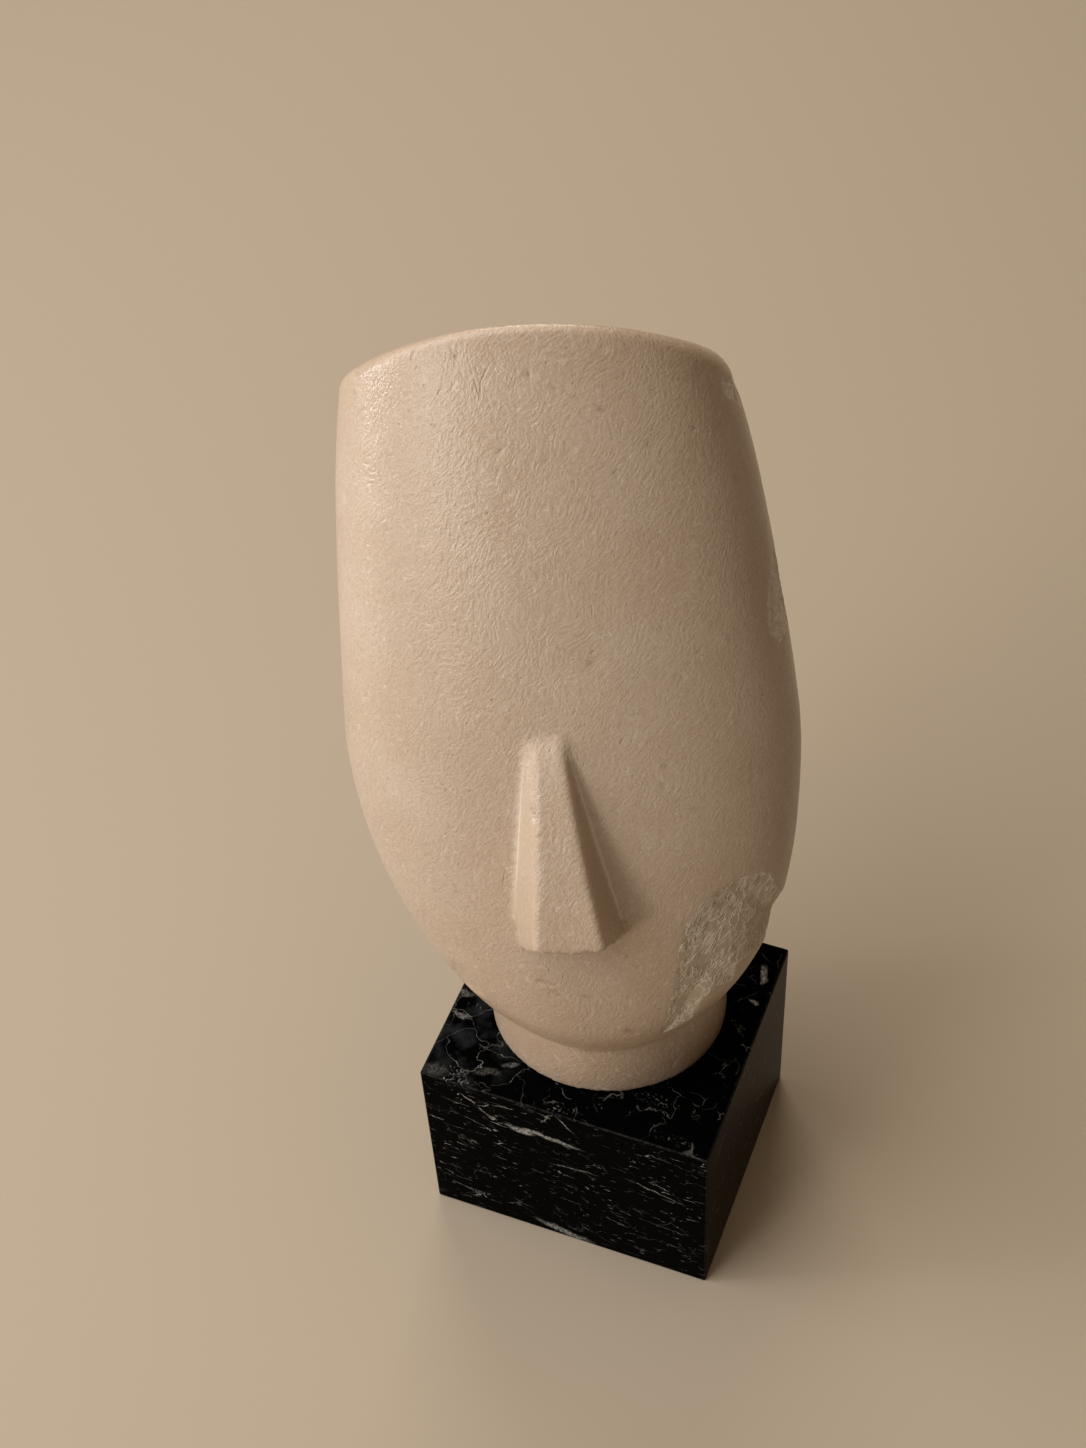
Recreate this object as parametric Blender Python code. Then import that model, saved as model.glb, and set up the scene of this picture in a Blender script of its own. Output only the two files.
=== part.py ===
"""A replica of a marble head of the Cycladic kind, on a polished block of black marble.

The origin is the middle of the plinth's underside, the face looks along -Y and +Z is up. The head
leans back, leans a little to one side and is turned on its plinth, so it is modelled in a frame of
its own: X runs across the face, -Y out of it and +Z up its axis, from the lowest point of the chin.
A place on the head is given by an angle round it (0 at its +X edge, 90 at the middle of the face)
and a height up its axis.
"""

import math
import random

import bmesh
import bpy
from mathutils import Euler, Matrix, Vector
from mathutils.geometry import delaunay_2d_cdt

MM = 0.001
DEGREE = math.pi / 180

# Plinth
PLINTH_WIDTH = 100 * MM
PLINTH_DEPTH = 88 * MM
PLINTH_HEIGHT = 80 * MM
PLINTH_ARRIS = 0.8 * MM
ARRIS_SEGMENTS = 2

# Neck, an oval column turned with the head
NECK_WIDTH = 79 * MM
NECK_DEPTH = 72 * MM
NECK_ASIDE = -0.5 * MM
NECK_SETBACK = 3.2 * MM
NECK_REACH = 98 * MM
NECK_TAPER = 0.30
NECK_TAPER_POWER = 2.2
SEAT_GAP = 0.3 * MM

# How the head is held
TURN = 15.3 * DEGREE
LEAN_BACK = 18 * DEGREE
LEAN_ASIDE = 5.6 * DEGREE
CHIN_INSET = 20.0 * MM
CHIN_ASIDE = 2.5 * MM
CHIN_HEIGHT = 12.1 * MM

# Head
HEAD_LENGTH = 254.8 * MM
HEAD_WIDTH = 136.3 * MM
CROWN_WIDTH = 109.4 * MM
JAW_HEIGHT = 120.4 * MM
JAW_ROUNDNESS = 2.08
FACE_DEPTH = 37 * MM
BACK_DEPTH = 40 * MM
CHIN_CURVE = 60 * MM
CHIN_ROUNDNESS = 2.6
FACE_BOW = 10 * MM
FACE_ROUNDNESS = 2.15
BACK_ROUNDNESS = 2.4
SIDE_TAPER = 1.11
CROWN_SLOPE = 24 * DEGREE
CROWN_ARCH = 8.6 * MM
CROWN_PEAK = 1.6 * MM
CROWN_ROUND = 3 * MM
LEFT_CORNER_ROUND = 5 * MM
RIGHT_CORNER_ROUND = 8 * MM
CROWN_ASIDE = -0.2 * MM
SOFT_CORNER = 1.5
SOFT_CORNER_AT = 140 * DEGREE
SOFT_CORNER_POWER = 6
CROWN_BLEND = 6
MIDLINE_WANDER = 1.3 * MM
WANDER_PERIOD = 150 * MM
WANDER_START = 35 * MM
WANDER_END = 190 * MM

# Nose, a wedge with a flat front that fades into the forehead
NOSE_TOP = 135.5 * MM
NOSE_FOOT = 72.8 * MM
NOSE_OUT = 16 * MM
NOSE_TOP_OUT = 2 * MM
NOSE_WIDTH = 34.6 * MM
NOSE_TOP_WIDTH = 11.4 * MM
NOSE_ASIDE = -2.8 * MM
RIDGE_WIDTH = 21.6 * MM
RIDGE_TOP_WIDTH = 9.8 * MM
RIDGE_ASIDE = -0.4 * MM
RIDGE_TOP_ASIDE = -1.4 * MM
RIDGE_SPREAD = 1.5
RIDGE_ROUND = 0.8 * MM
LEFT_TOP_SUNK = 1.9 * MM
RIGHT_TOP_SUNK = 1.0 * MM
TOP_SUNK_POWER = 8
LEFT_UNDERCUT = 8.9 * MM
RIGHT_UNDERCUT = 6.2 * MM
NOSE_FADE = 10 * MM
ROOT_AT_TOP = 2.5 * MM
ROOT_AT_FOOT = 7.5 * MM
NOSE_FOOT_ARC = 3 * MM
NOSTRIL_CHIP = 2.0 * MM
NOSTRIL_CHIP_SHARE = 0.135
NOSE_SECTIONS = (0.0, 0.12, 0.25, 0.5, 0.75, 1 - NOSTRIL_CHIP_SHARE, 1.0)

# Breaks: outlines as (angle in degrees, height in mm), a height below 0 being one under the crown
BREAK_PROUD = 3 * MM
BREAK_STEP = 6 * MM
BREAK_JITTER = 1 / 3
BREAK_CLEAR = 1 / 2
BREAK_SLOPE = 5 * MM
BREAK_ROUGHNESS = 0.25
BREAK_SEED = 4
MM_PER_DEGREE = 0.75
CHEEK_BREAK = dict(
    outline=(
        (-5, 45), (-5, 56.5), (0, 59), (10, 60), (18, 63.5), (24, 70), (29, 75), (35, 78), (44, 78.5),
        (51.5, 76), (55, 73), (60.5, 67), (62, 58), (62, 49.5), (63, 44), (62, 40), (63.5, 35),
        (62.5, 27), (60.6, 17), (54.5, 21), (48, 22), (49, 30.6), (45, 36.5), (36, 39), (27, 44),
        (16, 44), (4, 41),
    ),
    rim_depth=0.7 * MM,
    depth=2.4 * MM,
)
EDGE_BREAK = dict(
    outline=(
        (2, 177), (8, 175), (12.5, 172), (18, 166.5), (21, 160), (20, 156), (14, 151), (5, 151),
        (-6, 152), (-9, 160), (-8, 170), (-5, 177),
    ),
    rim_depth=0.5 * MM,
    depth=1.4 * MM,
)
CORNER_BREAK = dict(
    outline=((16, -2), (5, -2), (6, -4), (9, -8), (11, -11), (16, -11), (19, -8), (18.5, -4)),
    rim_depth=0.3 * MM,
    depth=0.6 * MM,
)
JAW_BREAK = dict(
    outline=((140, 47), (133.5, 47), (133.5, 40.5), (134.5, 36), (138.5, 33), (150, 34), (150, 42)),
    rim_depth=0.5 * MM,
    depth=1.2 * MM,
)

# Plain colours and finish of the two stones, as linear red, green and blue
HEAD_COLOUR = (0.57, 0.44, 0.33)
HEAD_ROUGHNESS = 0.4
PLINTH_COLOUR = (0.006, 0.0065, 0.006)
PLINTH_ROUGHNESS = 0.12
SHARP_EDGE = 30 * DEGREE

# Fineness of the solids
AROUND = 64
UP = 28
ROUND_RINGS = 4
CROWN_RINGS = 4
NECK_AROUND = 48
NECK_RINGS = 7


def power_curve(share, power):
    """Rises from 0 at share 0 to 1 at share 1, steep at first, as the quarter of an oval."""
    share = min(max(share, 0.0), 1.0)
    return max(1 - (1 - share) ** power, 0.0) ** (1 / power)


def half_width(height):
    """Half the head's width: an oval jaw below its widest height, a tapering skull above."""
    jaw = power_curve(height / JAW_HEIGHT, JAW_ROUNDNESS)
    above = max(height - JAW_HEIGHT, 0.0) / (HEAD_LENGTH - JAW_HEIGHT)
    return HEAD_WIDTH / 2 * jaw - (HEAD_WIDTH - CROWN_WIDTH) / 2 * min(above, 1.0) ** SIDE_TAPER


def bow(height):
    """How far the whole section stands forward, most at half the head's length."""
    half = HEAD_LENGTH / 2
    return FACE_BOW * (1 - ((height - half) / half) ** 2)


def wander(height):
    """The slight sideways sway of a mid-line drawn by hand, gone at the forehead."""
    fade = max(1 - max(height, 0.0) / WANDER_END, 0.0)
    return MIDLINE_WANDER * math.cos(2 * math.pi * (height - WANDER_START) / WANDER_PERIOD) * fade


def crown_drop(across, out):
    """How far the crown lies below the head's full length, over a point of the section."""
    arch = CROWN_ARCH * (2 * (across - CROWN_PEAK) / CROWN_WIDTH) ** 2
    return arch + math.tan(CROWN_SLOPE) * (FACE_DEPTH - out)


def crown_round(angle):
    """Radius of the crown's rounded edge: tight at the front and back, soft at the corners."""
    side = math.cos(angle)
    corner = RIGHT_CORNER_ROUND if side > 0 else LEFT_CORNER_ROUND
    return CROWN_ROUND + (corner - CROWN_ROUND) * side**2


def corner_depth(angle):
    """How many times deeper than wide the crown's edge is, most at the face's upper left corner."""
    return 1 + SOFT_CORNER * max(math.cos(angle - SOFT_CORNER_AT), 0) ** SOFT_CORNER_POWER


def section_point(angle, height, inset=0.0, shrink=1.0):
    """Across and out of a point round the section at a height, drawn in by inset or shrink."""
    c, s = math.cos(angle), math.sin(angle)
    roundness = FACE_ROUNDNESS if s > 0 else BACK_ROUNDNESS
    full = FACE_DEPTH if s > 0 else BACK_DEPTH
    depth = full * power_curve(height / CHIN_CURVE, CHIN_ROUNDNESS)
    depth = max(depth - inset * corner_depth(angle), 0.0)
    across = max(half_width(height) - inset, 0.0) * math.copysign(abs(c) ** (2 / roundness), c)
    out = depth * math.copysign(abs(s) ** (2 / roundness), s)
    return across * shrink, out * shrink


def head_point(angle, height, inset=0.0, drop=None, shrink=1.0):
    """A point of the head's surface. Toward the top the rings follow the sloping crown."""
    across, out = section_point(angle, height, inset, shrink)
    follow = (max(height, 0.0) / HEAD_LENGTH) ** CROWN_BLEND
    if drop is None:
        drop = crown_round(angle) * follow
    z = height - follow * crown_drop(across, out) - drop
    return Vector((across + CROWN_ASIDE * follow + wander(z), -(out + bow(z)), z))


def head_normal(angle, height):
    """The outward direction at a point of the head's side, from two short steps along it."""
    turn_step, rise_step = 0.5 * DEGREE, 0.5 * MM
    round_it = head_point(angle + turn_step, height) - head_point(angle - turn_step, height)
    up_it = head_point(angle, height + rise_step) - head_point(angle, height - rise_step)
    return up_it.cross(round_it).normalized()


def face_out(across, height):
    """How far the face stands out at a point across it, before any nose."""
    share = min(abs(across) / half_width(height), 1.0)
    depth = FACE_DEPTH * power_curve(height / CHIN_CURVE, CHIN_ROUNDNESS)
    return depth * (1 - share**FACE_ROUNDNESS) ** (1 / FACE_ROUNDNESS) + bow(height)


def bridge_rings(mesh, rings):
    """Joins each ring of vertices to the next with quads."""
    for lower, upper in zip(rings, rings[1:]):
        for i in range(len(lower)):
            j = (i + 1) % len(lower)
            mesh.faces.new((lower[i], lower[j], upper[j], upper[i]))


def close_ring(mesh, ring, point):
    """Closes a ring with a fan of triangles to one point."""
    middle = mesh.verts.new(point)
    for i in range(len(ring)):
        mesh.faces.new((ring[i], ring[(i + 1) % len(ring)], middle))


def finish_object(name, mesh):
    """Makes an object of a closed bmesh, with its faces pointing out."""
    bmesh.ops.recalc_face_normals(mesh, faces=mesh.faces)
    data = bpy.data.meshes.new(name)
    mesh.to_mesh(data)
    mesh.free()
    data.shade_smooth()
    data.set_sharp_from_angle(angle=SHARP_EDGE)
    obj = bpy.data.objects.new(name, data)
    bpy.context.scene.collection.objects.link(obj)
    return obj


def stone(name, colour, roughness):
    """A plain stone material."""
    material = bpy.data.materials.new(name)
    material.use_nodes = True
    shader = material.node_tree.nodes["Principled BSDF"]
    shader.inputs["Base Color"].default_value = (*colour, 1)
    shader.inputs["Roughness"].default_value = roughness
    shader.inputs["Metallic"].default_value = 0
    return material


def make_plinth():
    """The marble block, its edges taken off by the polisher."""
    mesh = bmesh.new()
    bmesh.ops.create_cube(mesh, size=1)
    size = Vector((PLINTH_WIDTH, PLINTH_DEPTH, PLINTH_HEIGHT))
    bmesh.ops.scale(mesh, verts=mesh.verts, vec=size)
    bmesh.ops.translate(mesh, verts=mesh.verts, vec=(0, 0, PLINTH_HEIGHT / 2))
    bmesh.ops.bevel(
        mesh, geom=mesh.edges[:], offset=PLINTH_ARRIS, segments=ARRIS_SEGMENTS, profile=0.5,
        affect="EDGES",
    )
    plinth = finish_object("plinth", mesh)
    plinth.data.materials.append(stone("black marble", PLINTH_COLOUR, PLINTH_ROUGHNESS))


def make_skull():
    """The head without neck and nose: rings from the chin to the rounded edge of the crown."""
    angles = [2 * math.pi * i / AROUND for i in range(AROUND)]
    mesh = bmesh.new()
    rings = []

    def add_ring(point):
        rings.append([mesh.verts.new(point(a)) for a in angles])

    for i in range(1, UP + 1):
        height = HEAD_LENGTH * (1 - math.cos(math.pi / 2 * i / UP))
        add_ring(lambda a: head_point(a, height))
    for i in range(1, ROUND_RINGS + 1):
        bend = math.pi / 2 * i / ROUND_RINGS
        inset, drop = 1 - math.cos(bend), 1 - math.sin(bend)
        add_ring(lambda a: head_point(a, HEAD_LENGTH, crown_round(a) * inset, crown_round(a) * drop))
    for i in range(1, CROWN_RINGS + 1):
        shrink = 1 - i / (CROWN_RINGS + 1)
        add_ring(lambda a: head_point(a, HEAD_LENGTH, crown_round(a), 0.0, shrink))
    bridge_rings(mesh, rings)
    close_ring(mesh, rings[0], head_point(0, 0))
    close_ring(mesh, rings[-1], head_point(0, HEAD_LENGTH, 0.0, 0.0, 0.0))
    return finish_object("head", mesh)


def make_neck():
    """An oval column, upright, that narrows as it goes up inside the head."""
    mesh = bmesh.new()
    rings = []
    for i in range(NECK_RINGS):
        share = i / (NECK_RINGS - 1)
        keep = 1 - NECK_TAPER * share**NECK_TAPER_POWER
        ring = []
        for k in range(NECK_AROUND):
            a = 2 * math.pi * k / NECK_AROUND
            x, y = NECK_WIDTH / 2 * keep * math.cos(a), NECK_DEPTH / 2 * keep * math.sin(a)
            ring.append(mesh.verts.new((x, y, NECK_REACH * share)))
        rings.append(ring)
    bridge_rings(mesh, rings)
    mesh.faces.new(rings[0])
    mesh.faces.new(rings[-1])
    neck = finish_object("neck", mesh)
    neck.location = (NECK_ASIDE, NECK_SETBACK, PLINTH_HEIGHT + SEAT_GAP)
    neck.rotation_euler = (0, 0, TURN)
    return neck


def nose_section(share):
    """One section of the nose, share 0 at its top and 1 at its foot, in the head's own frame."""
    height = NOSE_TOP + share * (NOSE_FOOT - NOSE_TOP)
    base = NOSE_TOP_WIDTH + (NOSE_WIDTH - NOSE_TOP_WIDTH) * share
    rise = NOSE_TOP_OUT + (NOSE_OUT - NOSE_TOP_OUT) * share
    root = ROOT_AT_TOP + (ROOT_AT_FOOT - ROOT_AT_TOP) * share
    down = max(share, 0)
    ridge = RIDGE_TOP_WIDTH + (RIDGE_WIDTH - RIDGE_TOP_WIDTH) * down**RIDGE_SPREAD
    aside = RIDGE_TOP_ASIDE + (RIDGE_ASIDE - RIDGE_TOP_ASIDE) * down
    chip = NOSTRIL_CHIP * max(1 - (1 - down) / NOSTRIL_CHIP_SHARE, 0)
    halves = []
    for side, undercut, top_sunk, lost in (
        (-1, LEFT_UNDERCUT, LEFT_TOP_SUNK, chip), (1, RIGHT_UNDERCUT, RIGHT_TOP_SUNK, 0),
    ):
        across = NOSE_ASIDE + side * (base / 2 - lost)
        low = height - undercut * down
        foot = Vector((across, -face_out(across, low), low))
        sunk = top_sunk * (1 - down) ** TOP_SUNK_POWER
        tip = Vector((aside + side * ridge / 2, sunk - face_out(0, height) - rise, height))
        slope = (foot - tip).normalized()
        edge = tip - Vector((side * RIDGE_ROUND, 0, 0))
        halves.append([foot + slope * root, tip + slope * RIDGE_ROUND, edge])
    return halves[0] + halves[1][::-1]


def make_nose():
    """The wedge nose, its top sunk under the forehead and its foot gently arched."""
    mesh = bmesh.new()
    sunk = Vector((0, 2 * NOSE_TOP_OUT, 0))
    top = [point + sunk for point in nose_section(-NOSE_FADE / (NOSE_TOP - NOSE_FOOT))]
    rings = [
        [mesh.verts.new(point) for point in ring]
        for ring in [top] + [nose_section(share) for share in NOSE_SECTIONS]
    ]
    bridge_rings(mesh, rings)
    mesh.faces.new(rings[0])
    foot = rings[-1]
    left, right = foot[2:4]
    middle = mesh.verts.new((left.co + right.co) / 2 - Vector((0, 0, NOSE_FOOT_ARC)))
    mesh.faces.new((left, right, middle))
    mesh.faces.new(foot[:3] + [middle] + foot[3:])
    return finish_object("nose", mesh)


def break_places(outline):
    """The outline of a break as (round, up) in mm, with added points, and a loose grid over it."""
    corners = [
        Vector((angle * MM_PER_DEGREE, up if up > 0 else HEAD_LENGTH / MM + up))
        for angle, up in outline
    ]
    step = BREAK_STEP / MM
    rim = []
    for start, end in zip(corners, corners[1:] + corners[:1]):
        parts = math.ceil((end - start).length / step)
        rim += [start.lerp(end, i / parts) for i in range(parts)]
    low = Vector((min(p.x for p in rim), min(p.y for p in rim)))
    high = Vector((max(p.x for p in rim), max(p.y for p in rim)))
    columns, rows = (math.ceil(size / step) for size in high - low)
    grid = [low + Vector((i, j)) * step for i in range(columns + 1) for j in range(rows + 1)]
    return rim, grid


def add_break(mesh, rng, outline, rim_depth, depth):
    """Adds the cutter of one break: a lumpy slab from just proud of the head to its depth."""
    rim, grid = break_places(outline)
    jitter, clear = (share * BREAK_STEP / MM for share in (BREAK_JITTER, BREAK_CLEAR))
    inner = []
    for place in grid:
        place = place + Vector((rng.uniform(-jitter, jitter), rng.uniform(-jitter, jitter)))
        if min((place - p).length for p in rim) > clear:
            inner.append(place)
    places, _, faces, *_ = delaunay_2d_cdt(rim + inner, [], [range(len(rim))], 1, 0.01)
    top, bottom = {}, {}
    for face in faces:
        for i in face:
            if i in top:
                continue
            angle, height = places[i].x / MM_PER_DEGREE * DEGREE, places[i].y * MM
            run = min((places[i] - p).length for p in rim) * MM
            level = rim_depth + (depth - rim_depth) * min(run / BREAK_SLOPE, 1)
            level *= 1 + rng.uniform(-BREAK_ROUGHNESS, BREAK_ROUGHNESS)
            point, outward = head_point(angle, height), head_normal(angle, height)
            top[i] = mesh.verts.new(point + outward * BREAK_PROUD)
            bottom[i] = mesh.verts.new(point - outward * level)
    sides = set()
    for face in faces:
        mesh.faces.new([top[i] for i in face])
        mesh.faces.new([bottom[i] for i in reversed(face)])
        sides ^= {frozenset(pair) for pair in zip(face, face[1:] + face[:1])}
    for i, j in sorted(tuple(sorted(side)) for side in sides):
        mesh.faces.new((top[i], top[j], bottom[j], bottom[i]))


def make_breaks():
    """The cutters of the breaks on the cheek, the crown and the edges, as one object."""
    rng = random.Random(BREAK_SEED)
    mesh = bmesh.new()
    for place in (CHEEK_BREAK, EDGE_BREAK, CORNER_BREAK, JAW_BREAK):
        add_break(mesh, rng, **place)
    return finish_object("breaks", mesh)


def apply_boolean(target, tool, operation):
    """Adds a Boolean modifier and keeps its tool out of the built model."""
    modifier = target.modifiers.new(tool.name, "BOOLEAN")
    modifier.operation = operation
    modifier.solver = "EXACT"
    modifier.object = tool
    tool.hide_render = True
    tool.display_type = "WIRE"


def make_head():
    """The head in one piece: skull, neck and nose joined, with the breaks taken out."""
    head = make_skull()
    forward = Vector((math.sin(TURN), -math.cos(TURN), 0))
    aside = Vector((math.cos(TURN), math.sin(TURN), 0))
    neck_foot = Vector((NECK_ASIDE, NECK_SETBACK, PLINTH_HEIGHT))
    chin = neck_foot + forward * (NECK_DEPTH / 2 - CHIN_INSET) + aside * CHIN_ASIDE
    head.location = chin + Vector((0, 0, CHIN_HEIGHT))
    head.rotation_mode = "YXZ"
    head.rotation_euler = Euler((-LEAN_BACK, -LEAN_ASIDE, TURN), "YXZ")
    nose = make_nose()
    breaks = make_breaks()
    nose.parent = head
    breaks.parent = head
    apply_boolean(head, make_neck(), "UNION")
    apply_boolean(head, nose, "UNION")
    apply_boolean(head, breaks, "DIFFERENCE")
    head.data.materials.append(stone("pale cast stone", HEAD_COLOUR, HEAD_ROUGHNESS))


def main():
    for obj in list(bpy.data.objects):
        bpy.data.objects.remove(obj)
    make_plinth()
    make_head()


main()
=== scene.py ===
"""An abstract stone head on a black marble plinth: the fine meshes, the stone and marble,
the pale floor, the soft light and the camera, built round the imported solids."""

import math
from functools import partial

import bmesh
import bpy
import numpy as np
from bpy.props import FloatProperty, FloatVectorProperty, IntProperty, PointerProperty
from mathutils import Euler, Matrix, Vector, noise


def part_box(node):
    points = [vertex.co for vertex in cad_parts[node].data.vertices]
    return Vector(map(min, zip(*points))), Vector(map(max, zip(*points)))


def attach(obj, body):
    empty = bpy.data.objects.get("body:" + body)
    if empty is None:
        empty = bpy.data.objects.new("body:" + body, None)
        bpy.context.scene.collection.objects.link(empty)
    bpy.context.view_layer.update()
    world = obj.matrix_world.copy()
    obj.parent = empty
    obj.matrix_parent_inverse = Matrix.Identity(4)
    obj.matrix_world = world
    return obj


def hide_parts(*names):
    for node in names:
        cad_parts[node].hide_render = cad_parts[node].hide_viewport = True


bl_info = {
    "name": "Stone Head on a Plinth",
    "version": (1, 0, 0),
    "blender": (4, 5, 0),
    "location": "View3D > Sidebar > Stone Head",
    "description": "Makes an abstract cast stone head, its black marble plinth and a plain stage",
    "category": "Object",
}

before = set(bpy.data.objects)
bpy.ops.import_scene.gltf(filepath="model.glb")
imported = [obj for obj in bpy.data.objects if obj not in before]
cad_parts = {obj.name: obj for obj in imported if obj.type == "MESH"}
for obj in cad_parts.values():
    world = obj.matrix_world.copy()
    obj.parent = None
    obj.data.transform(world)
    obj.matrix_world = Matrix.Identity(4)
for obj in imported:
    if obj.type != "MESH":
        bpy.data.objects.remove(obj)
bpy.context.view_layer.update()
PLINTH_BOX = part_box("plinth")

MM = 0.001
DEGREE = math.radians(1)

# The head leans back and to its left on an upright oval neck, and is turned with it.
TURN = 15.3 * DEGREE
LEAN_BACK = 18 * DEGREE
LEAN_ASIDE = 5.6 * DEGREE
NECK_PLACE = Vector((-0.5, 3.2, 0.0)) * MM
NECK_WIDTH = 79 * MM
NECK_DEPTH = 72 * MM
NECK_REACH = 98 * MM
NECK_TAPER = 0.30
NECK_TAPER_POWER = 2.2
NECK_FOOT_ROUND = 0.7 * MM
SEAT_JOINT = 0.05 * MM
CHIN_INSET = 20.0 * MM
CHIN_ASIDE = 2.5 * MM
CHIN_HEIGHT = 12.1 * MM

# The rule of the skull's sections, measured up from the chin.
JAW_SHARE = 120.4 / 254.8
JAW_ROUNDNESS = 2.08
CHIN_CURVE = 60 * MM
CHIN_ROUNDNESS = 2.6
FACE_BOW = 10 * MM
FACE_ROUNDNESS = 2.15
BACK_ROUNDNESS = 2.4
SIDE_TAPER = 1.11
CROWN_SLOPE = 24 * DEGREE
CROWN_ARCH = 8.6 * MM
CROWN_PEAK = 1.6 * MM
CROWN_ROUND = 3 * MM
LEFT_CORNER_ROUND = 5 * MM
RIGHT_CORNER_ROUND = 8 * MM
CROWN_ASIDE = -0.2 * MM
SOFT_CORNER = 1.5
SOFT_CORNER_AT = 140 * DEGREE
SOFT_CORNER_POWER = 6
CROWN_BLEND = 6
MIDLINE_WANDER = 1.3 * MM
WANDER_PERIOD = 150 * MM
WANDER_START = 35 * MM
WANDER_END = 190 * MM

# The wedge nose, share 0 at its top and 1 at its foot.
NOSE_TOP = 135.5 * MM
NOSE_FOOT = 72.8 * MM
NOSE_TOP_OUT = 2 * MM
NOSE_TOP_WIDTH = 11.4 * MM
NOSE_ASIDE = -2.8 * MM
RIDGE_WIDTH = 21.6 * MM
RIDGE_TOP_WIDTH = 9.8 * MM
RIDGE_ASIDE = -0.4 * MM
RIDGE_TOP_ASIDE = -1.4 * MM
RIDGE_SPREAD = 1.5
RIDGE_ROUND = 0.8 * MM
LEFT_TOP_SUNK = 1.9 * MM
RIGHT_TOP_SUNK = 1.0 * MM
TOP_SUNK_POWER = 8
LEFT_UNDERCUT = 8.9 * MM
RIGHT_UNDERCUT = 6.2 * MM
NOSE_FADE = 10 * MM
ROOT_AT_TOP = 2.5 * MM
ROOT_AT_FOOT = 7.5 * MM
NOSE_FOOT_ARC = 3 * MM
NOSE_FOOT_RIM = 0.02
NOSE_FOOT_SUNK = 2 * MM
NOSTRIL_CHIP = 2.0 * MM
NOSTRIL_CHIP_SHARE = 0.135
NOSTRIL_DROP = 2.7 * MM
NOSTRIL_DROP_AT = 0.15

# Breaks, each a closed outline of (degrees round the section, mm up from the chin or, below
# zero, down from the crown), its depth at the rim and well inside, in mm, and how chalky it is.
# One that isn't chalky at all is old, and worn as smooth as the skin.
MM_PER_DEGREE = 0.75
BREAK_SLOPE = 7.0
BREAK_RIM_WIDTH = 1.4
BREAKS = (
    (
        ((-5, 45), (-5, 56.5), (0, 59), (10, 60), (18, 63.5), (24, 70), (29, 75), (35, 78), (44, 78.5),
         (51.5, 76), (55, 73), (60.5, 67), (61.5, 60), (63, 56), (62, 49.5), (63, 44), (62, 40),
         (63.5, 35), (62.5, 27), (60.6, 17), (54.5, 21), (48, 22), (49, 30.6), (45, 36.5), (33, 34),
         (37, 43), (27, 44), (16, 44), (4, 41)),
        0.25, 1.9, 0.1,
    ),
    (((2, 177), (8, 175), (12.5, 172), (16, 169), (18, 166.5), (20.5, 163), (21, 160), (20, 156),
      (17, 153), (14, 151), (5, 151), (-6, 152), (-9, 160), (-8, 170), (-5, 177)), 0.4, 1.1, 0.9),
    (((16.5, -2.5), (5, -2.5), (6, -6), (9, -10), (11, -13.5), (16, -13.5), (19, -10.5), (18.5, -6)),
     0.3, 0.5, 1.0),
    (((4, -11), (-4, -11), (-4, -16), (1, -15)), 0.3, 0.5, 0.9),
    (((133.5, 47), (133.5, 40.5), (134.5, 36), (138.5, 33), (150, 34), (150, 42), (140, 47)),
     0.5, 1.1, 0.0),
)

# How ragged the outlines are, in mm, in waves of RAGGED_SIZE and in others that are FINER times
# shorter, and from how far outside. ON_SKULL, a share of the skull's section, keeps the breaks
# off the flat of the crown.
RAGGED = 0.7
RAGGED_FINE = 0.5
RAGGED_SIZE = 3.5 * MM
FINER = 2.7
RAGGED_FROM = 3
ON_SKULL = 0.7

# Small marks on the face: the line they follow as (across, up) in mm, half width and depth. The
# thin ones are too fine for the mesh, and are drawn by the stone's finish alone.
MARKS = (
    (((-25.7, 248.5), (-27.4, 245.1)), 0.45, 0.35),
    (((-6.1, 244.1), (-8.7, 239.9)), 0.3, 0.15),
    (((-8.7, 239.9), (-9.5, 235.6)), 0.4, 0.25),
    (((-10.5, 240.0), (-9.5, 235.6)), 0.3, 0.2),
    (((-9.5, 235.4), (-9.5, 235.2)), 0.5, 0.4),
    (((-14.8, 246.4), (-14.6, 246.2)), 0.6, 0.5),
    (((-24.3, 238.6), (-24.2, 238.5)), 0.5, 0.4),
    (((-23.3, 228.3), (-22.7, 228.0)), 0.5, 0.4),
    (((-32.9, 227.6), (-32.7, 227.6)), 0.5, 0.3),
    (((3.9, 241.4), (4.1, 240.6)), 0.6, 0.4),
    (((8.8, 243.7), (8.9, 243.5)), 0.5, 0.4),
    (((-7.6, 115.8), (-7.4, 114.0)), 0.9, 0.5),
    (((-19.1, 91.3), (-20.7, 84.8)), 0.3, 0.2),
    (((19.3, 134.1), (18.7, 133.3)), 0.5, 0.3),
    (((-14.4, 48.5), (-9.5, 47.2)), 0.8, 0.3),
    (((-11.0, 44.0), (-7.6, 42.6)), 0.9, 0.35),
    (((-1.4, 42.6), (2.0, 41.4)), 0.8, 0.3),
    (((10.4, 23.8), (12.0, 21.8)), 0.9, 0.5),
)

# The thin pale lines in the creases on both sides of the nose: the line and its half width, in mm.
CREASE_LINES = (
    (((3.6, 133.5), (14.7, 66.0)), 0.4),
    (((-8.9, 131.0), (-17.8, 78.0)), 0.25),
)

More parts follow.
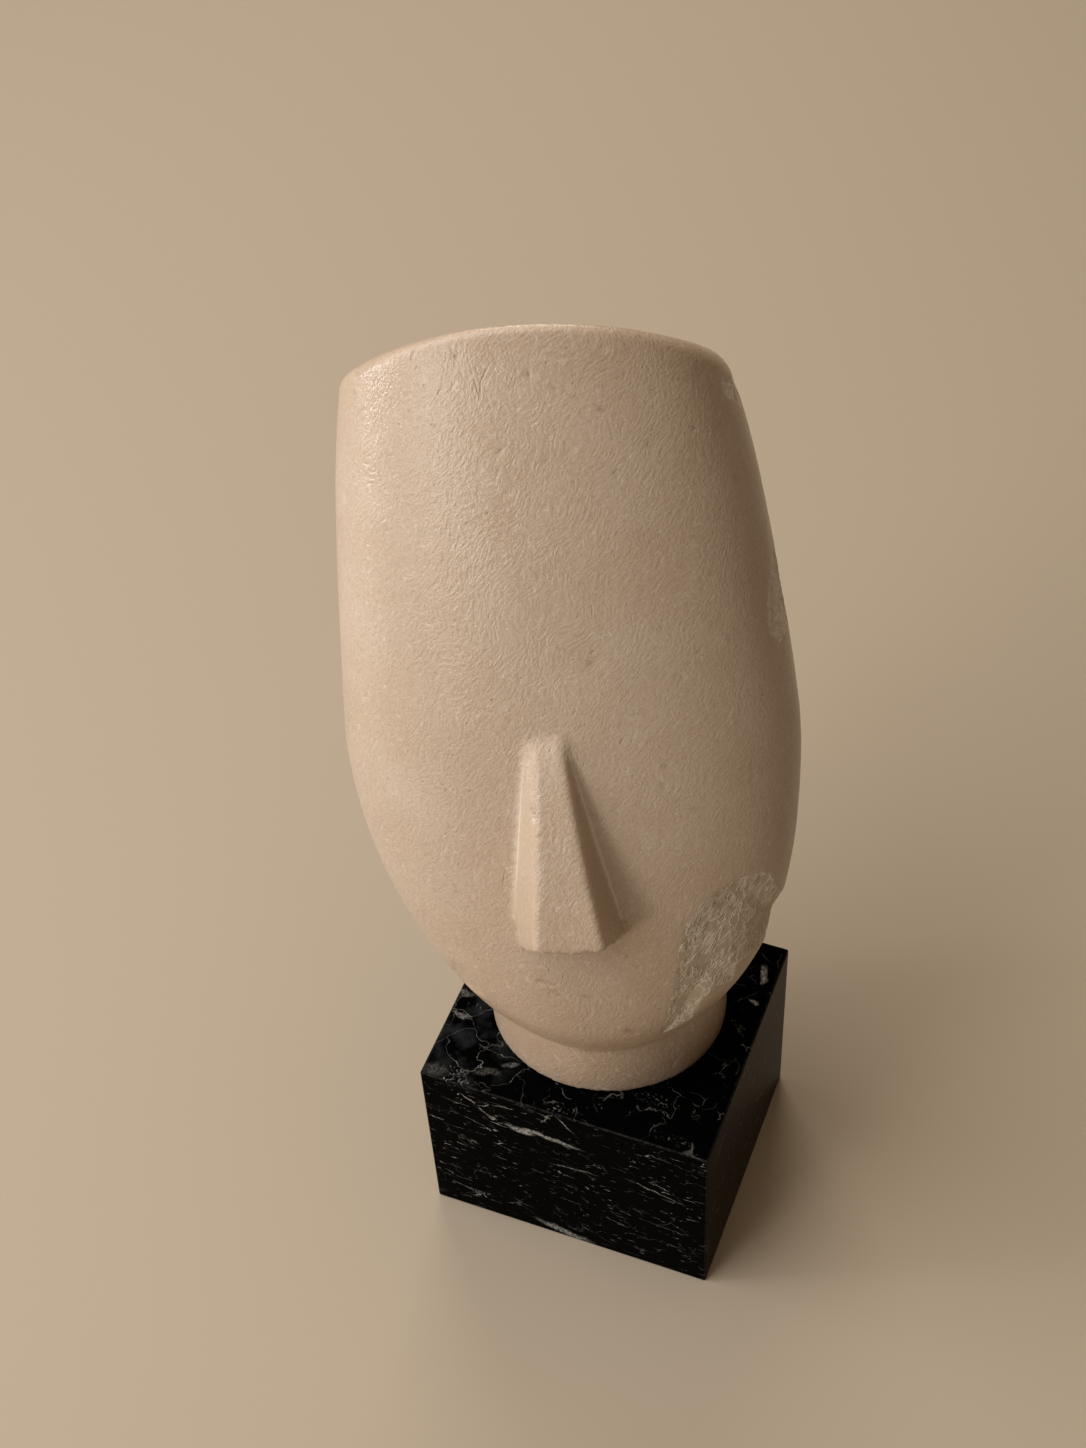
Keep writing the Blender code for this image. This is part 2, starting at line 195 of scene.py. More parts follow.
# The marble's own veins and lenses, in mm in the frame of the whole, in which the front face lies at
# y FRONT and the top at z TOP. On the front: place across and up, half width and height, turn in
# degrees and strength.
FRONT = -44
FRONT_VEINS = (
    (-6.4, 64, 15.5, 1.5, 5.6, 0.8), (-15, 63.4, 7, 2.3, 4, 0.9), (-2, 3.6, 13, 2.4, 14.5, 0.6),
    (-33.4, 72.7, 4.4, 0.45, 41, 0.7), (-27.6, 67.7, 3.8, 0.5, 41, 0.7),
    (-24.9, 65.4, 1.7, 1.2, 0, 1), (-27.9, 72, 3.4, 0.4, -39, 0.7),
    (-20.7, 74.9, 5.2, 0.4, -9, 0.7), (-5, 76, 4.8, 0.45, -60, 0.6),
    (1.2, 75.2, 6.5, 0.4, 51, 0.55), (3.2, 48.7, 10, 0.4, -5.7, 0.5), (32, 50.2, 13, 0.4, 16, 0.5),
    (-45.9, 54.5, 3, 0.45, 0, 0.6),
)

# On the top: place across and back, half width, length and depth, turn in degrees and strength.
TOP = 80
TOP_VEINS = (
    (45.2, 30.8, 1.5, 4.6, 3, 12, 0.85), (45.2, 19.6, 1.8, 1.2, 3, 0, 0.8),
    (-46, -18, 5.2, 1.1, 3, -14, 0.4), (-22.6, -31, 3.8, 1.2, 3, 30, 0.3),
    (-45.5, -41, 5.5, 3.6, 2, 0, 0.14), (-29, -36, 6, 2.2, 2, 18, 0.14),
    (-47.5, -9.5, 3.8, 1.8, 2, 0, 0.2),
)

# Clusters of small white specks on the top: place, half width and length, and strength.
TOP_SPECKS = (
    (-39, -40, 5, 3.2, 0.6), (27, -28, 9, 3, 0.4), (39, -40, 6, 2, 0.4), (-1, -41, 8, 2, 0.5),
)

# How far a vertex lies below its neighbours where a crease starts to show, and where it is full.
CREASE_FROM = 0.04 * MM
CREASE_FADE = 0.12 * MM

# How far outside the skull's sections a point counts as neck, and up to which height.
NECK_FROM = 1.06
NECK_FADE = 0.1
NECK_TOP = 60 * MM

# The marks of the rubbing stone lean to the head's left and swirl.
STROKE_LEAN = 36 * DEGREE
SWIRL = 16 * MM
SWIRL_REACH = 12 * MM

# How fine the meshes are: the skin's voxels, the points round each ring and the rings.
VOXEL = 1.17 * MM
AROUND = 288
UP = 180
EDGE_RINGS = 9
TOP_RINGS = 30
NECK_AROUND = 180
NECK_UP = 60
NOSE_RINGS = 41

# The stage and the camera, in metres.
FLOOR_HALF = 4.0
LIGHTS_AIM = (0, 0, 0.2)
ROOM_COLOUR = "#8E6E4C"
ROOM_STRENGTH = 0.15
CAMERA_PLACE = (0.15766, -0.39016, 0.70059)
CAMERA_AZIMUTH = 24.0669 * DEGREE
CAMERA_ELEVATION = 48.4246 * DEGREE
CAMERA_ROLL = -3.8655 * DEGREE
CAMERA_LENS = 55.0
CAMERA_SENSOR = 36.0


def linear(code):
    """The linear colour, with alpha 1, of an sRGB hex code."""
    parts = [int(code[i:i + 2], 16) / 255 for i in (1, 3, 5)]
    return (*(p / 12.92 if p <= 0.04045 else ((p + 0.055) / 1.055) ** 2.4 for p in parts), 1.0)


def colour_property(name, description, code):
    """A colour that a user may change, with its default from an sRGB hex code."""
    return FloatVectorProperty(
        name=name, description=description, default=linear(code), size=4, min=0, max=1, subtype="COLOR"
    )


def length_property(name, description, default):
    """A length that a user may change, in metres."""
    return FloatProperty(
        name=name, description=description, default=default, min=0, unit="LENGTH", subtype="DISTANCE"
    )


def power_property(name, description, default):
    """A light's power that a user may change, in watts."""
    return FloatProperty(name=name, description=description, default=default, min=0, unit="POWER")


class HeadSettings(bpy.types.PropertyGroup):
    """Sizes, relief and colours of the cast stone head"""

    length: length_property("Length", "From the chin to the crown, along the head", 254.8 * MM)
    width: length_property("Width", "Across the widest part of the jaw", 136.3 * MM)
    crown_width: length_property("Crown width", "Across the top of the head", 109.4 * MM)
    face_depth: length_property("Face depth", "How far the face stands in front of the sides", 37 * MM)
    back_depth: length_property("Back depth", "How far the back stands behind the sides", 40 * MM)
    nose_out: length_property("Nose depth", "How far the nose's foot stands out of the face", 16 * MM)
    nose_width: length_property("Nose width", "Across the nose's foot, on the face", 34.6 * MM)
    wave_depth: length_property("Wave depth", "Depth of the broad hollows left by rubbing", 0.35 * MM)
    ripple_depth: length_property("Ripple depth", "Depth of the slanting tool ripples", 0.12 * MM)
    fracture_depth: length_property("Fracture depth", "Depth of the ridges in the breaks", 0.7 * MM)
    pit_spacing: length_property("Pit spacing", "Average distance between the larger pores", 20 * MM)
    pit_radius: length_property("Pit radius", "Radius of the largest pores", 1.3 * MM)
    pit_depth: length_property("Pit depth", "Depth of the largest pores", 0.4 * MM)
    seed: IntProperty(name="Seed", description="Picks where the pores fall", default=7, min=0)
    skin: colour_property("Stone", "The rubbed face of the stone", "#C7B29C")
    pale: colour_property("Pale grain", "The lighter grain in the stone", "#DDCFBE")
    # The dark also paints the shade in the creases below the nose and between the breaks' crests.
    dark: colour_property("Pores", "The dust in the pores, and the painted shade in creases and breaks", "#80664E")
    # Painted shade: the stone is painted darker and browner towards the chin, where the light falls
    # off.
    painted_chin_shade: colour_property("Chin shade", "The brown painted shade towards the chin", "#A07850")
    broken: colour_property("Broken stone", "The fresh stone inside the breaks", "#C8B59C")
    crushed: colour_property(
        "Crushed stone", "The white bruises on the breaks' rims and crests", "#FAF3E8"
    )


class PlinthSettings(bpy.types.PropertyGroup):
    """Sizes and colours of the marble plinth"""

    arris: length_property("Arris", "Width of the polished edges", 0.8 * MM)
    ground: colour_property("Ground", "The black ground of the marble", "#040404")
    vein: colour_property("Veins", "The calcite veins, and the painted highlight on the arrises", "#B4B4B0")
    mist: colour_property("Mist", "The clouded patches", "#34373A")


class StageSettings(bpy.types.PropertyGroup):
    """The floor and the light"""

    floor: colour_property("Floor", "The plain pale floor", "#BBAE9B")
    key_power: power_property("Key light", "Power of the high soft light from the left", 23.5)
    low_power: power_property("Low light", "Power of the small light that draws the sheen", 4.2)
    corner_power: power_property(
        "Corner light", "Power of the small light that the crown's corner mirrors", 3.8
    )
    top_power: power_property("Top light", "Power of the wide warm light from above", 7)
    rim_power: power_property("Rim light", "Power of the light from behind", 9)


def power_curve(share, power):
    """Rises from 0 at share 0 to 1 at share 1, steep at first, as the quarter of an oval."""
    share = np.clip(share, 0.0, 1.0)
    return np.maximum(1 - (1 - share) ** power, 0.0) ** (1 / power)


def half_width(sizes, height):
    """Half the head's width: an oval jaw below its widest height, a tapering skull above."""
    jaw_height = JAW_SHARE * sizes.length
    jaw = power_curve(height / jaw_height, JAW_ROUNDNESS)
    above = np.clip((height - jaw_height) / (sizes.length - jaw_height), 0.0, 1.0)
    return sizes.width / 2 * jaw - (sizes.width - sizes.crown_width) / 2 * above**SIDE_TAPER


def bow(sizes, height):
    """How far the whole section stands forward, most at half the head's length."""
    half = sizes.length / 2
    return FACE_BOW * (1 - ((height - half) / half) ** 2)


def wander(height):
    """The slight sideways sway of a mid-line drawn by hand, gone at the forehead."""
    fade = np.maximum(1 - np.maximum(height, 0.0) / WANDER_END, 0.0)
    return MIDLINE_WANDER * np.cos(2 * math.pi * (height - WANDER_START) / WANDER_PERIOD) * fade


def crown_round(angle):
    """Radius of the crown's rounded edge: tight in front and behind, softer at the sides."""
    side = np.cos(angle)
    corner = np.where(side > 0, RIGHT_CORNER_ROUND, LEFT_CORNER_ROUND)
    return CROWN_ROUND + (corner - CROWN_ROUND) * side**2


def corner_depth(angle):
    """How many times deeper than wide the crown's edge is, most at the face's upper left corner."""
    return 1 + SOFT_CORNER * np.maximum(np.cos(angle - SOFT_CORNER_AT), 0) ** SOFT_CORNER_POWER


def section_depth(sizes, height, front):
    """Depth of the section in front of the sides or behind them, at a height."""
    full = np.where(front, sizes.face_depth, sizes.back_depth)
    return full * power_curve(height / CHIN_CURVE, CHIN_ROUNDNESS)


def crown_share(sizes, height):
    """How much a height takes of the crown's slope and arch, which is little below the forehead."""
    return (np.maximum(height, 0.0) / sizes.length) ** CROWN_BLEND


def crown_fall(sizes, across, out):
    """How far the crown lies below its highest place, by its arch and its slope."""
    arch = CROWN_ARCH * (2 * (across - CROWN_PEAK) / sizes.crown_width) ** 2
    return arch + math.tan(CROWN_SLOPE) * (sizes.face_depth - out)


def skull_points(sizes, angle, height, inset=0.0, drop=None, shrink=1.0):
    """Points of the skull's surface, in the head's own frame: across, back and up."""
    c, s = np.cos(angle), np.sin(angle)
    roundness = np.where(s > 0, FACE_ROUNDNESS, BACK_ROUNDNESS)
    depth = np.maximum(section_depth(sizes, height, s > 0) - inset * corner_depth(angle), 0.0)
    half = np.maximum(half_width(sizes, height) - inset, 0.0)
    across = shrink * half * np.sign(c) * np.abs(c) ** (2 / roundness)
    out = shrink * depth * np.sign(s) * np.abs(s) ** (2 / roundness)
    follow = crown_share(sizes, height)
    if drop is None:
        drop = crown_round(angle) * follow
    z = height - follow * crown_fall(sizes, across, out) - drop
    return np.stack([across + CROWN_ASIDE * follow + wander(z), -(out + bow(sizes, z)), z], axis=-1)


def face_out(sizes, across, height):
    """How far the face stands out at a point across it, before any nose."""
    share = np.minimum(np.abs(across) / half_width(sizes, height), 1.0)
    curve = (1 - share**FACE_ROUNDNESS) ** (1 / FACE_ROUNDNESS)
    return section_depth(sizes, height, True) * curve + bow(sizes, height)


def side_place(sizes, points):
    """The angle round the section and the height of points that lie near the skull."""
    across = points[:, 0] - wander(points[:, 2]) - CROWN_ASIDE * crown_share(sizes, points[:, 2])
    out = -points[:, 1] - bow(sizes, points[:, 2])
    front = out > 0
    roundness = np.where(front, FACE_ROUNDNESS, BACK_ROUNDNESS)
    fall = crown_fall(sizes, across, out) + RIGHT_CORNER_ROUND
    height = points[:, 2]
    for _ in range(4):  # four rounds settle the height
        height = np.minimum(points[:, 2] + crown_share(sizes, height) * fall, sizes.length)
    c = across / np.maximum(half_width(sizes, height), MM)
    s = out / np.maximum(section_depth(sizes, height, front), MM)
    spread = np.abs(c) ** roundness + np.abs(s) ** roundness
    angle = np.arctan2(
        np.sign(s) * np.abs(s) ** (roundness / 2), np.sign(c) * np.abs(c) ** (roundness / 2)
    )
    return angle, height, spread


def ring_mesh(name, rings, first, last):
    """A closed mesh of rings of points, joined by quads and closed at both ends with a point."""
    around = len(rings[0])
    points = [*np.concatenate(rings).tolist(), list(first), list(last)]
    faces = []
    for r in range(len(rings) - 1):
        for i in range(around):
            j = (i + 1) % around
            faces.append((r * around + i, r * around + j, (r + 1) * around + j, (r + 1) * around + i))
    top = (len(rings) - 1) * around
    for i in range(around):
        j = (i + 1) % around
        faces.append((j, i, len(points) - 2))
        faces.append((top + i, top + j, len(points) - 1))
    data = bpy.data.meshes.new(name)
    data.from_pydata(points, [], faces)
    return data


def skull_mesh(sizes):
    """The head without neck and nose, from the chin to the rounded edge of the crown."""
    angle = np.linspace(0, 2 * math.pi, AROUND, endpoint=False)
    rings = []
    for i in range(1, UP + 1):
        height = sizes.length * (1 - math.cos(math.pi / 2 * i / UP))
        rings.append(skull_points(sizes, angle, height))
    radius = crown_round(angle)
    for bend in np.linspace(0, math.pi / 2, EDGE_RINGS)[1:]:
        inset, drop = radius * (1 - math.cos(bend)), radius * (1 - math.sin(bend))
        rings.append(skull_points(sizes, angle, sizes.length, inset, drop))
    for shrink in np.linspace(1, 0, TOP_RINGS)[1:-1]:
        rings.append(skull_points(sizes, angle, sizes.length, radius, 0.0, shrink))
    foot = skull_points(sizes, np.zeros(1), 0.0)[0]
    crown = skull_points(sizes, np.zeros(1), sizes.length, 0.0, 0.0, 0.0)[0]
    return ring_mesh("skull", rings, foot, crown)


def neck_mesh():
    """The oval neck, upright, that narrows as it goes up inside the head."""
    angle = np.linspace(0, 2 * math.pi, NECK_AROUND, endpoint=False)
    rings = []

    def add_ring(share, inset):
        keep = 1 - NECK_TAPER * share**NECK_TAPER_POWER
        rings.append(np.stack([
            (NECK_WIDTH / 2 - inset) * keep * np.cos(angle),
            (NECK_DEPTH / 2 - inset) * keep * np.sin(angle),
            np.full(len(angle), NECK_REACH * share),
        ], axis=-1))

    add_ring(0, NECK_FOOT_ROUND)
    add_ring(NECK_FOOT_ROUND / NECK_REACH, 0.0)
    for share in np.linspace(0.03, 1, NECK_UP):
        add_ring(share, 0.0)
    return ring_mesh("neck", rings, (0, 0, 0), (0, 0, NECK_REACH))


def nose_section(sizes, share):
    """One section of the nose, share 0 at its top and 1 at its foot."""
    height = NOSE_TOP + share * (NOSE_FOOT - NOSE_TOP)
    base = NOSE_TOP_WIDTH + (sizes.nose_width - NOSE_TOP_WIDTH) * share
    rise = NOSE_TOP_OUT + (sizes.nose_out - NOSE_TOP_OUT) * share
    root = ROOT_AT_TOP + (ROOT_AT_FOOT - ROOT_AT_TOP) * share
    down = max(share, 0)
    ridge = RIDGE_TOP_WIDTH + (RIDGE_WIDTH - RIDGE_TOP_WIDTH) * down**RIDGE_SPREAD
    aside = RIDGE_TOP_ASIDE + (RIDGE_ASIDE - RIDGE_TOP_ASIDE) * down
    chip = max(1 - (1 - down) / NOSTRIL_CHIP_SHARE, 0)
    halves = []
    for side, undercut, top_sunk, lost, drop in (
        (-1, LEFT_UNDERCUT, LEFT_TOP_SUNK, NOSTRIL_CHIP * chip, NOSTRIL_DROP * chip),
        (1, RIGHT_UNDERCUT, RIGHT_TOP_SUNK, 0, 0),
    ):
        across = NOSE_ASIDE + side * (base / 2 - lost)
        low = height - undercut * down
        foot = Vector((across, -face_out(sizes, across, low), low))
        sunk = top_sunk * (1 - down) ** TOP_SUNK_POWER
        tip = Vector((aside + side * ridge / 2, sunk - face_out(sizes, 0, height) - rise, height))
        slope = (foot - tip).normalized()
        edge = tip - Vector((side * RIDGE_ROUND, 0, 0))
        wing = foot.lerp(tip, NOSTRIL_DROP_AT) - Vector((0, 0, drop))
        halves.append([foot + slope * root, wing, tip + slope * RIDGE_ROUND, edge])
    return np.array(halves[0] + halves[1][::-1])


def nose_mesh(sizes):
    """The wedge nose, its top sunk under the forehead and its foot gently arched."""
    top = nose_section(sizes, -NOSE_FADE / (NOSE_TOP - NOSE_FOOT)) + (0, 2 * NOSE_TOP_OUT, 0)
    rings = [top] + [nose_section(sizes, share) for share in np.linspace(0, 1, NOSE_RINGS)]
    foot = rings[-1]
    middle = (foot[3] + foot[4]) / 2 - (0, 0, NOSE_FOOT_ARC)
    inner = foot + (middle - foot) * NOSE_FOOT_RIM
    inner[3:5] = (foot[3:5] + middle) / 2
    rings.append(inner)
    return ring_mesh("nose", rings, rings[0].mean(0), middle + (0, NOSE_FOOT_SUNK, NOSE_FOOT_SUNK))


def line_distance(line, across, up):
    """How far points lie from the straight line between two points."""
    (x0, y0), (x1, y1) = line
    along = np.clip(
        ((across - x0) * (x1 - x0) + (up - y0) * (y1 - y0)) / ((x1 - x0) ** 2 + (y1 - y0) ** 2), 0, 1
    )
    return np.hypot(across - x0 - along * (x1 - x0), up - y0 - along * (y1 - y0))


def outline_run(outline, around, up):
    """How far points lie inside a closed outline, in mm; below zero outside it."""
    inside = np.zeros(len(around), bool)
    nearest = np.full(len(around), np.inf)
    for start, end in zip(outline, outline[1:] + outline[:1]):
        nearest = np.minimum(nearest, line_distance((start, end), around, up))
        (x0, y0), (x1, y1) = start, end
        if y0 != y1:
            crosses = (y0 > up) != (y1 > up)
            inside ^= crosses & (around < x0 + (up - y0) * (x1 - x0) / (y1 - y0))
    return np.where(inside, nearest, -nearest)


def vertex_array(data, name="vertices", key="co"):
    """Positions or normals of a mesh's vertices as an array."""
    values = np.empty(len(data.vertices) * 3, np.float32)
    getattr(data, name).foreach_get(key, values)
    return values.reshape(-1, 3).astype(float)


def hollow_depth(data, points, normals):
    """How far each vertex lies below the middle of its neighbours, which is above 0 in a crease."""
    ends = np.empty(len(data.edges) * 2, np.int32)
    data.edges.foreach_get("vertices", ends)
    first, second = ends.reshape(-1, 2).T
    total = np.zeros_like(points)
    for here, there in ((first, second), (second, first)):
        np.add.at(total, here, points[there])
    count = np.bincount(ends, minlength=len(points))
    return np.einsum("ij,ij->i", total / count[:, None] - points, normals)


def carve_breaks(sizes, data, to_head):
    """Sinks the breaks and the small marks into the head, and marks fresh stone, creases and neck."""
    points = vertex_array(data)
    normals = vertex_array(data, "vertex_normals", "vector")
    own = points @ np.array(to_head.to_3x3()).T + np.array(to_head.translation)
    crease = np.clip((hollow_depth(data, points, normals) - CREASE_FROM) / CREASE_FADE, 0, 1)
    angle, height, spread = side_place(sizes, own)
    around, up = np.degrees(angle) * MM_PER_DEGREE, height / MM
    fresh, chalk, sink = np.zeros((3, len(points)))
    for outline, rim, deep, whiteness in BREAKS:
        corners = [(a * MM_PER_DEGREE, h if h > 0 else sizes.length / MM + h) for a, h in outline]
        run = outline_run(corners, around, up)
        for i in np.flatnonzero((run > -RAGGED_FROM) & (spread > ON_SKULL)):
            place = Vector(points[i]) / RAGGED_SIZE
            run[i] += RAGGED * noise.noise(place) + RAGGED_FINE * noise.noise(place * FINER)
        level = rim + (deep - rim) * np.clip(run / BREAK_SLOPE, 0, 1)
        inside = np.clip(run / BREAK_RIM_WIDTH + 0.5, 0, 1) * (spread > ON_SKULL)
        sink = np.maximum(sink, level * inside * MM)
        fresh = np.maximum(fresh, inside * (whiteness > 0))
        chalk = np.maximum(chalk, inside * whiteness)
    front = own[:, 1] < 0
    for line, half, depth in MARKS:
        if half * MM >= VOXEL / 2:
            away = line_distance(line, own[:, 0] / MM, own[:, 2] / MM)
            sink += front * depth * np.exp(-((away / half) ** 2)) * MM
    points -= normals * sink[:, None]
    data.vertices.foreach_set("co", points.astype(np.float32).ravel())
    on_neck = np.clip((spread - NECK_FROM) / NECK_FADE, 0, 1) * (own[:, 2] < NECK_TOP)
    under_nose = own[:, 2] < NOSE_FOOT
    # The creases below the nose's foot are kept for painted shade, those above it for a pale line.
    for name, values in (
        ("fresh", fresh), ("chalk", chalk), ("neck", on_neck),
        ("painted crease shade", crease * under_nose), ("pale crease", crease * ~under_nose),
    ):
        layer = data.attributes.new(name, "FLOAT", "POINT")
        layer.data.foreach_set("value", values.astype(np.float32))
    data.update()


# The kinds of node and the settings that come up most.
MATH = "ShaderNodeMath"
VECTOR_MATH = "ShaderNodeVectorMath"
MAP_RANGE = "ShaderNodeMapRange"
NOISE = "ShaderNodeTexNoise"
SMOOTH = {"interpolation_type": "SMOOTHSTEP"}
TEXTURE = {"vector_type": "TEXTURE"}
MULTIPLY = {"operation": "MULTIPLY"}
MULTIPLY_ADD = {"operation": "MULTIPLY_ADD"}
MAXIMUM = {"operation": "MAXIMUM"}


def add_node(tree, kind, inputs=None, output=0, **settings):
    """Adds a node with its settings, and links or sets its inputs. Gives one output, or the node."""
    made = tree.nodes.new(kind)
    for name, value in settings.items():
        setattr(made, name, value)
    for name, value in (inputs or {}).items():
        if isinstance(value, bpy.types.NodeSocket):
            tree.links.new(value, made.inputs[name])
        else:
            made.inputs[name].default_value = value
    return made if output is None else made.outputs[output]


def from_middle(node, pattern):
    """How far a noise lies from its middle, which is 0 on thin lines that wander and branch."""
    signed = node(MATH, {0: pattern, 1: 0.5}, operation="SUBTRACT")
    return node(MATH, {0: signed}, operation="ABSOLUTE")


def relief_tree():
    """Rubs waves, slanting ripples, fracture ridges and pores into a mesh, inwards only."""
    tree = bpy.data.node_groups.new("stone relief", "GeometryNodeTree")
    kinds = {"Geometry": "Geometry", "Head turn": "Vector", "Seed": "Int", "Stone": "Material"}
    for name in (
        "Geometry", "Wave depth", "Wave length", "Wave width", "Ripple depth", "Ripple length",
        "Ripple width", "Fracture depth", "Fracture length", "Fracture width", "Pit spacing",
        "Pit radius", "Pit depth", "Head turn", "Seed", "Stone",
    ):
        kind = kinds.get(name, "Float")
        tree.interface.new_socket(name, in_out="INPUT", socket_type=f"NodeSocket{kind}")
    tree.interface.new_socket("Geometry", in_out="OUTPUT", socket_type="NodeSocketGeometry")
    node = partial(add_node, tree)
    given = node("NodeGroupInput", output=None).outputs

    position = node("GeometryNodeInputPosition")
    own = node("ShaderNodeVectorRotate", {"Vector": position, "Rotation": given["Head turn"]},
               rotation_type="EULER_XYZ", invert=True)
    drift = node(NOISE, {"Vector": own, "Scale": 1 / SWIRL, "Detail": 1.0}, 1)
    swirled = node(VECTOR_MATH, {0: drift, 1: (SWIRL_REACH,) * 3, 2: own}, **MULTIPLY_ADD)
    slanted = node("ShaderNodeVectorRotate", {"Vector": swirled, "Rotation": (0, STROKE_LEAN, 0)},
                   rotation_type="EULER_XYZ", invert=True)
    waves, ripples, ridges = (
        node(NOISE, {
            "Vector": node(VECTOR_MATH, {0: base, 1: node("ShaderNodeCombineXYZ", {
                0: given[f"{name} width"], 1: given[f"{name} width"], 2: given[f"{name} length"],
            })}, operation="DIVIDE"),
            "Scale": 1.0, "Detail": detail, "Roughness": roughness,
        })
        for name, base, detail, roughness in (
            ("Wave", own, 1.0, 0.5), ("Ripple", slanted, 1.5, 0.55), ("Fracture", slanted, 3.0, 0.55),
        )
    )
    fresh = node("GeometryNodeInputNamedAttribute", {"Name": "fresh"}, data_type="FLOAT")
    rubbed = node(MATH, {0: 1.0, 1: fresh}, operation="SUBTRACT")

    # Pores: points strewn over the surface, each a small bowl of its own size.
    spacing = node(MATH, {0: given["Pit spacing"], 1: -2.0}, operation="POWER")
    pores = node("GeometryNodeDistributePointsOnFaces", {
        "Mesh": given["Geometry"], "Density": spacing, "Seed": given["Seed"],
    })
    nearest = node("GeometryNodeSampleNearest", {"Geometry": pores}, domain="POINT")
    centre = node("GeometryNodeSampleIndex", {"Geometry": pores, "Value": position, "Index": nearest},
                  data_type="FLOAT_VECTOR", domain="POINT")
    size = node("FunctionNodeRandomValue", {2: 0.4, 3: 1.0, "ID": nearest, "Seed": given["Seed"]}, 1,
                data_type="FLOAT")
    away = node(VECTOR_MATH, {0: position, 1: centre}, "Value", operation="DISTANCE")
    radius = node(MATH, {0: size, 1: given["Pit radius"]}, **MULTIPLY)
    pit = node(MAP_RANGE, {"Value": away, "From Min": radius, "From Max": 0.0}, **SMOOTH)
    for share in (size, rubbed):
        pit = node(MATH, {0: pit, 1: share}, **MULTIPLY)

    # The ridges of a break stay where the noise crosses its middle, so they are thin and branch.
    valley = node(MATH, {0: from_middle(node, ridges), 1: 4.0}, use_clamp=True, **MULTIPLY)
    fracture = node(MATH, {0: valley, 1: given["Fracture depth"]}, **MULTIPLY)
    skin = node(MATH, {0: ripples, 1: given["Ripple depth"]}, **MULTIPLY)
    skin = node(MATH, {0: pit, 1: given["Pit depth"], 2: skin}, **MULTIPLY_ADD)
    depth = node("ShaderNodeMix", {0: fresh, 2: skin, 3: fracture}, data_type="FLOAT")
    depth = node(MATH, {0: waves, 1: given["Wave depth"], 2: depth}, **MULTIPLY_ADD)
    inwards = node(VECTOR_MATH, {
        0: node("GeometryNodeInputNormal"),
        "Scale": node(MATH, {0: depth, 1: -1.0}, **MULTIPLY),
    }, operation="SCALE")
    moved = node("GeometryNodeSetPosition", {"Geometry": given["Geometry"], "Offset": inwards})
    stored = node("GeometryNodeStoreNamedAttribute", {"Geometry": moved, "Name": "pit", "Value": pit},
                  data_type="FLOAT", domain="POINT")
    whole = node("GeometryNodeRealizeInstances", {"Geometry": stored})
    dressed = node("GeometryNodeSetMaterial", {"Geometry": whole, "Material": given["Stone"]})
    node("NodeGroupOutput", {"Geometry": dressed}, output=None)
    return tree


def set_inputs(modifier, values):
    """Sets a Geometry Nodes modifier's inputs by the identifiers of their sockets."""
    for item in modifier.node_group.interface.items_tree:
        if item.item_type == "SOCKET" and item.in_out == "INPUT" and item.name in values:
            modifier[item.identifier] = values[item.name]


def settled_mesh(obj, name):
    """The plain mesh that an object's modifiers make; the modifiers are then removed."""
    found = obj.evaluated_get(bpy.context.evaluated_depsgraph_get())
    data = bpy.data.meshes.new_from_object(found)
    data.name = name
    obj.modifiers.clear()
    return data


def new_object(name, data):
    """An object at the origin in the scene's own collection."""
    obj = bpy.data.objects.new(name, data)
    bpy.context.scene.collection.objects.link(obj)
    return obj


def head_matrix():
    """Where the head's own frame lies: chin at its origin, up along the head, face to -Y."""
    forward = Vector((math.sin(TURN), -math.cos(TURN), 0))
    aside = Vector((math.cos(TURN), math.sin(TURN), 0))
    chin = NECK_PLACE + forward * (NECK_DEPTH / 2 - CHIN_INSET) + aside * CHIN_ASIDE
    chin.z = PLINTH_BOX[1].z + CHIN_HEIGHT
    turn = Euler((-LEAN_BACK, -LEAN_ASIDE, TURN), "YXZ").to_matrix().to_4x4()
    return Matrix.Translation(chin) @ turn


def new_material(name, values):
    """A material with its node tree, and its shader, given the values that hold all over it."""
    material = bpy.data.materials.new(name)
    material.use_nodes = True
    shader = material.node_tree.nodes["Principled BSDF"]
    for key, value in values.items():
        shader.inputs[key].default_value = value
    return material, material.node_tree, shader


def in_oval(node, base, centre, half, turn, core, rim, strength=1.0):
    """How much each point lies in an oval: its full strength up to the core, nothing past the rim."""
    inside = node("ShaderNodeMapping", {
        "Vector": base, "Location": centre, "Rotation": turn, "Scale": half,
    }, **TEXTURE)
    reach = node(VECTOR_MATH, {0: inside}, "Value", operation="LENGTH")
    return node(MAP_RANGE, {
        "Value": reach, "From Min": rim, "From Max": core, "To Max": strength,
    }, **SMOOTH)


def in_lines(node, level, lines):
    """How much each point lies in one of the lines, which are thin ovals on the face."""
    drawn = 0.0
    for ((x0, z0), (x1, z1)), half, *_ in lines:
        line = in_oval(
            node, level, ((x0 + x1) / 2, 0, (z0 + z1) / 2),
            (half, 1.0, half + math.hypot(x1 - x0, z1 - z0) / 2),
            (0, math.atan2(x1 - x0, z1 - z0), 0), 0.5, 1.2,
        )
        drawn = node(MATH, {0: drawn, 1: line}, **MAXIMUM)
    return drawn


def laid_over(node, colour, layers):
    """A colour with others laid over it, each by its share of its own mask."""
    for share, mask, other in layers:
        factor = node(MATH, {0: mask, 1: share}, **MULTIPLY)
        colour = node("ShaderNodeMix", {0: factor, 6: colour, 7: other}, 2, data_type="RGBA")
    return colour


